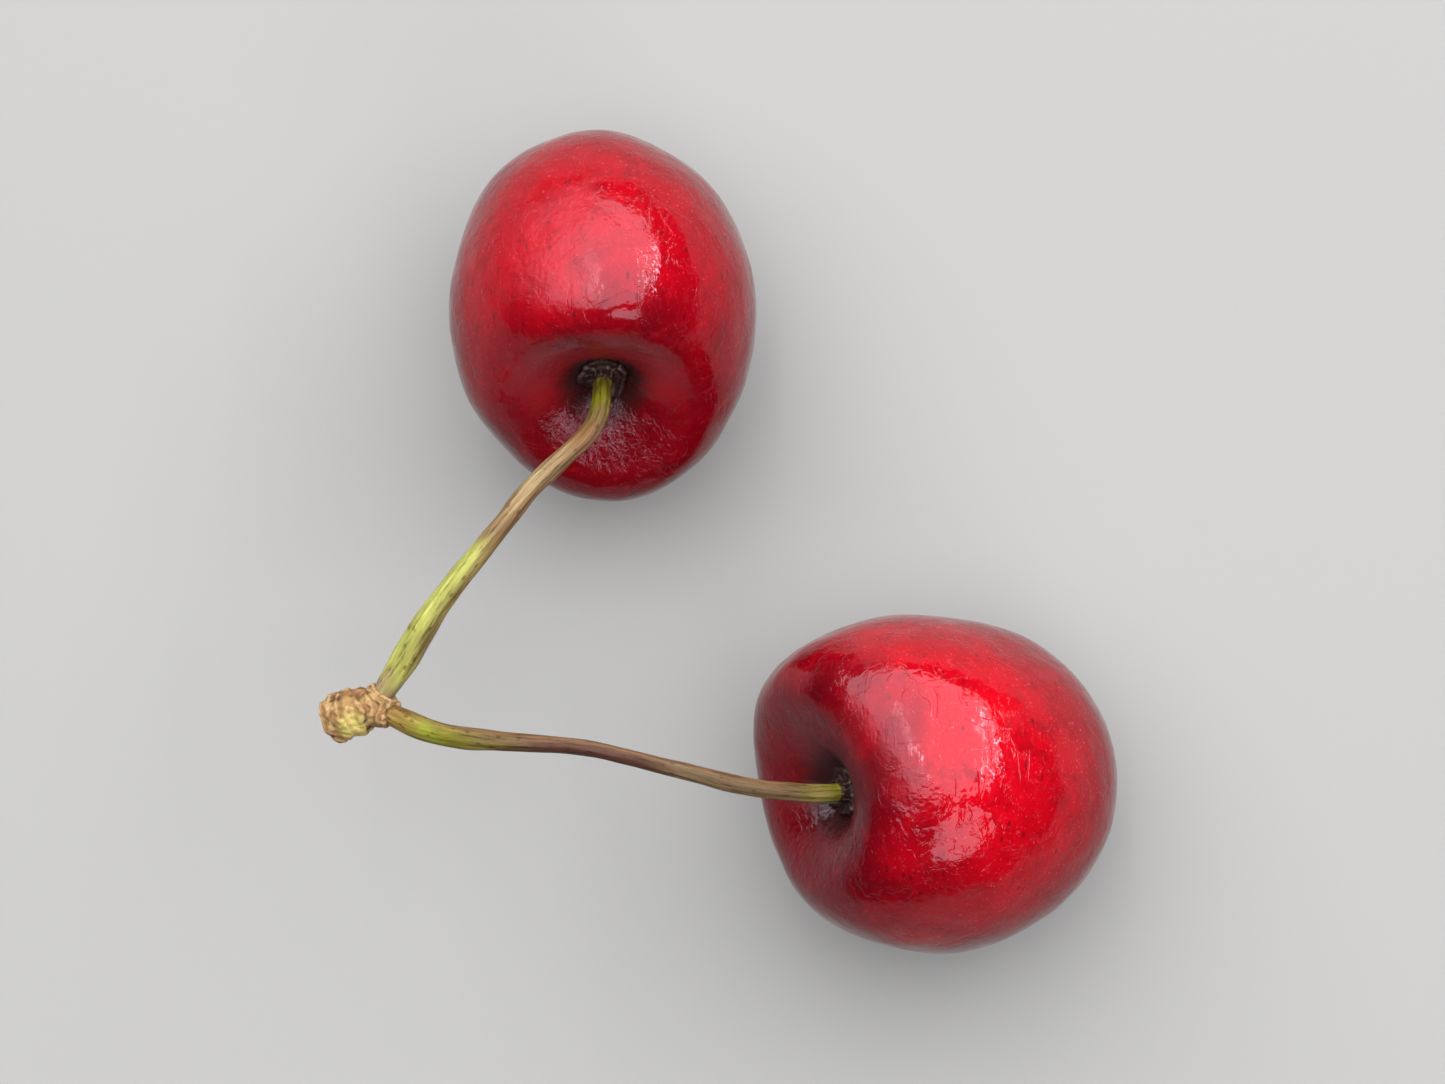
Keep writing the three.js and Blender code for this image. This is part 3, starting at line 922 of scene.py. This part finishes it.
def make_piece(name, shape, material, offset):
    """A smooth-shaded object at the origin, with its attributes of one number or three."""
    points, faces, attributes = shape
    mesh = bpy.data.meshes.new(name)
    mesh.from_pydata(to_frame(points, offset).tolist(), [], faces)
    mesh.polygons.foreach_set("use_smooth", [True] * len(mesh.polygons))
    for key, values in attributes.items():
        kind, field = ("FLOAT", "value") if values.ndim == 1 else ("FLOAT_VECTOR", "vector")
        made = mesh.attributes.new(key, kind, "POINT")
        made.data.foreach_set(field, values.astype(np.float32).ravel())
    mesh.materials.append(material)
    piece = bpy.data.objects.new(name, mesh)
    bpy.context.scene.collection.objects.link(piece)
    return piece


SEEDS = dict(left_cherry=11, right_cherry=23, left_stalk=31, right_stalk=37, spur=41)

shapes, materials, origins = {}, {}, {}
for side in CHERRIES:
    node = f"{side}_cherry"
    shapes[node], origins[side] = make_cherry(side, SEEDS[node])
    materials[node] = skin_material(side)
for side in CHERRIES:
    node = f"{side}_stalk"
    shapes[node] = make_stalk(side, origins[side], SEEDS[node])
    materials[node] = stalk_material(side)
shapes["spur"] = make_spur(SEEDS["spur"])
materials["spur"] = spur_material()

# The step from the layout to the frame, read from where the left cherry is in the frame.
low, high = (np.array(corner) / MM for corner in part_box("left_cherry"))
points = shapes["left_cherry"][0]
offset = (low + high) / 2 - (points.min(axis=0) + points.max(axis=0)) / 2
offset[2] = 0
for node, shape in shapes.items():
    piece = make_piece(f"{node}_finish", shape, materials[node], offset)
    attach(piece, "root")
    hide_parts(node)

# ---- Floor, light and camera ----

FLOOR = {"Base Color": (0.160, 0.1585, 0.157), "Roughness": 0.7}
FLOOR_REACH = 4.0  # metres each way
WORLD_COLOUR = (1.0, 0.98, 0.97)
WORLD_STRENGTH = 0.06

# The light panels, in metres: a big softbox, a small panel low down, and three narrow strips for crisp
# glints. tilt leans a panel from overhead towards +Y, and turn swings it to +X, both in degrees. ragged is
# how unevenly its edge is cut, as if by leaves before a window.
PANEL_DISTANCE = 0.8
STRIP = dict(width=0.010, depth=0.8, radiance=60, ragged=0.5)
PANELS = dict(
    softbox=dict(width=1.8, depth=1.9, radiance=5.3, tilt=26, turn=0, ragged=0.25),
    low_patch=dict(width=0.42, depth=0.3, radiance=5.3, tilt=-40, turn=28, ragged=0.4),
    first_strip=dict(STRIP, tilt=12, turn=42),
    second_strip=dict(STRIP, tilt=22, turn=51),
    third_strip=dict(STRIP, tilt=14, turn=-6),
)
# The patch of a panel that shines: how far from the panel's middle it starts to fade and ends, and the size
# of the bites in its edge, all as shares of the panel's side.
LIT_PATCH = dict(fades_from=0.53, ends_at=0.56, bite=1 / 9)

CAMERA_PLACE = (13.9, -23.8, 350)  # where the photograph was taken from, in the layout
AIM_HEIGHT = 10  # above the floor, under the middle of the pair
LENS = 124
SENSOR_WIDTH = 36


def make_floor():
    """A plain pale surface that the pair lies on."""
    mesh = bpy.data.meshes.new("floor")
    corners = [(x * FLOOR_REACH, y * FLOOR_REACH, 0) for x, y in ((-1, -1), (1, -1), (1, 1), (-1, 1))]
    mesh.from_pydata(corners, [], [(0, 1, 2, 3)])
    mesh.materials.append(Surface("pale_floor", FLOOR).material)
    floor = bpy.data.objects.new("floor", mesh)
    bpy.context.scene.collection.objects.link(floor)


def cut_edge(lamp, ragged):
    """Lets a panel shine only inside a wide round patch with an uneven edge."""
    lamp.use_nodes = True
    nodes = Nodes(lamp.node_tree)
    spot = nodes.add("NewGeometry", {}).outputs["Parametric"]
    from_middle = nodes.distance(spot, (0.5, 0.5, 0))
    clouds = nodes.noise(spot, size=LIT_PATCH["bite"], detail=4)
    reach = nodes.line(clouds, ragged, plus=from_middle)
    edge = dict(start=LIT_PATCH["ends_at"] + ragged / 2, end=LIT_PATCH["fades_from"] + ragged / 2)
    lit = nodes.rise(reach, **edge, curve="LINEAR")
    nodes.put(lit, lamp.node_tree.nodes["Emission"].inputs["Strength"])


def make_panel(name, width, depth, radiance, tilt, turn, ragged):
    """A soft light panel that faces the pair."""
    lamp = bpy.data.lights.new(name, "AREA")
    lamp.shape = "RECTANGLE"
    lamp.size = width
    lamp.size_y = depth
    lamp.energy = radiance * math.pi * width * depth
    cut_edge(lamp, ragged)
    panel = bpy.data.objects.new(name, lamp)
    facing = Euler((-math.radians(tilt), math.radians(turn), 0))
    panel.rotation_euler = facing
    panel.location = facing.to_matrix() @ Vector((0, 0, PANEL_DISTANCE))
    bpy.context.scene.collection.objects.link(panel)


def make_world():
    """The faint light of the studio itself."""
    world = bpy.data.worlds.new("studio")
    world.use_nodes = True
    background = world.node_tree.nodes["Background"]
    background.inputs["Color"].default_value = (*WORLD_COLOUR, 1)
    background.inputs["Strength"].default_value = WORLD_STRENGTH
    bpy.context.scene.world = world


def make_camera(offset):
    """A camera that looks down on the middle of the pair from above, with +Y up in its view."""
    place = Vector(to_frame(np.array(CAMERA_PLACE), offset))
    back = (place - Vector((0, 0, AIM_HEIGHT * MM))).normalized()
    right = Vector((0, 1, 0)).cross(back).normalized()
    data = bpy.data.cameras.new("camera")
    data.sensor_width = SENSOR_WIDTH
    data.lens = LENS
    data.clip_start = 10 * MM
    camera = bpy.data.objects.new("camera", data)
    turn = camera.matrix_world.to_3x3()
    turn.col[0], turn.col[1], turn.col[2] = right, back.cross(right), back
    camera.matrix_world = turn.to_4x4()
    camera.location = place
    bpy.context.scene.collection.objects.link(camera)
    bpy.context.scene.camera = camera


make_floor()
for name, panel in PANELS.items():
    make_panel(name, **panel)
make_world()
make_camera(offset)
bpy.context.scene.view_settings.view_transform = "Standard"
